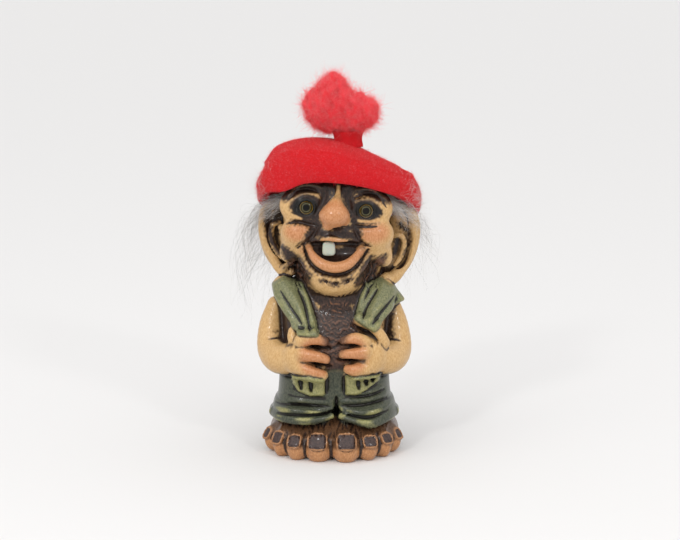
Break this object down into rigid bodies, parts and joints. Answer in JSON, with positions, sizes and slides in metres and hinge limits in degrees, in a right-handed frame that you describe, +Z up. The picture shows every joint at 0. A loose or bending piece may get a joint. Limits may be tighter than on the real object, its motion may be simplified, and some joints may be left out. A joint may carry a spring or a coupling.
{
  "type": "folk troll figurine with a felt hat",
  "caption": "Hollow hand-painted troll figurine with glass eyes, grey fur hair, one tooth and a lift-off red felt hat with a wool pompom.",
  "frame": {"origin": "middle of the flat underside, on the surface that the figure stands on", "axes": "+Z up through the head, the face looks along -Y, +X is to the right as seen from the front"},
  "size_m": [0.073, 0.0628, 0.151],
  "materials": {
    "painted_composition": "hand-painted and satin lacquered casting",
    "plug_composition": "bare cast composition",
    "eye_glass": "polished clear glass",
    "iris_enamel": "amber enamel with a gold rim",
    "pupil_enamel": "black enamel",
    "shank_wire": "drawn iron wire",
    "tooth_glaze": "glossy pale bead",
    "hide": "tanned hide backing",
    "grey_fur": "long goat hair, white to dark grey",
    "red_felt": "thick fulled wool felt",
    "red_wool": "loose carded wool"
  },
  "bodies": {
    "figure": {"body_casting": "painted_composition", "base_plug": "plug_composition", "left_eye_glass": "eye_glass", "right_eye_glass": "eye_glass", "left_eye_iris": "iris_enamel", "right_eye_iris": "iris_enamel", "left_eye_pupil": "pupil_enamel", "right_eye_pupil": "pupil_enamel", "left_eye_loop": "shank_wire", "right_eye_loop": "shank_wire", "tooth": "tooth_glaze", "fur_strip": "hide", "left_side_hair": "grey_fur", "right_side_hair": "grey_fur", "nape_hair": "grey_fur"},
    "hat": {"hat_crown": "red_felt", "hat_band": "red_felt", "hat_stem": "red_felt", "hat_pompom": "red_wool"}
  },
  "joints": [
    {"name": "hat_lift", "type": "slide", "parent": "figure", "child": "hat", "axis": [0, 0, 1], "range_m": [0, 0.06]}
  ]
}
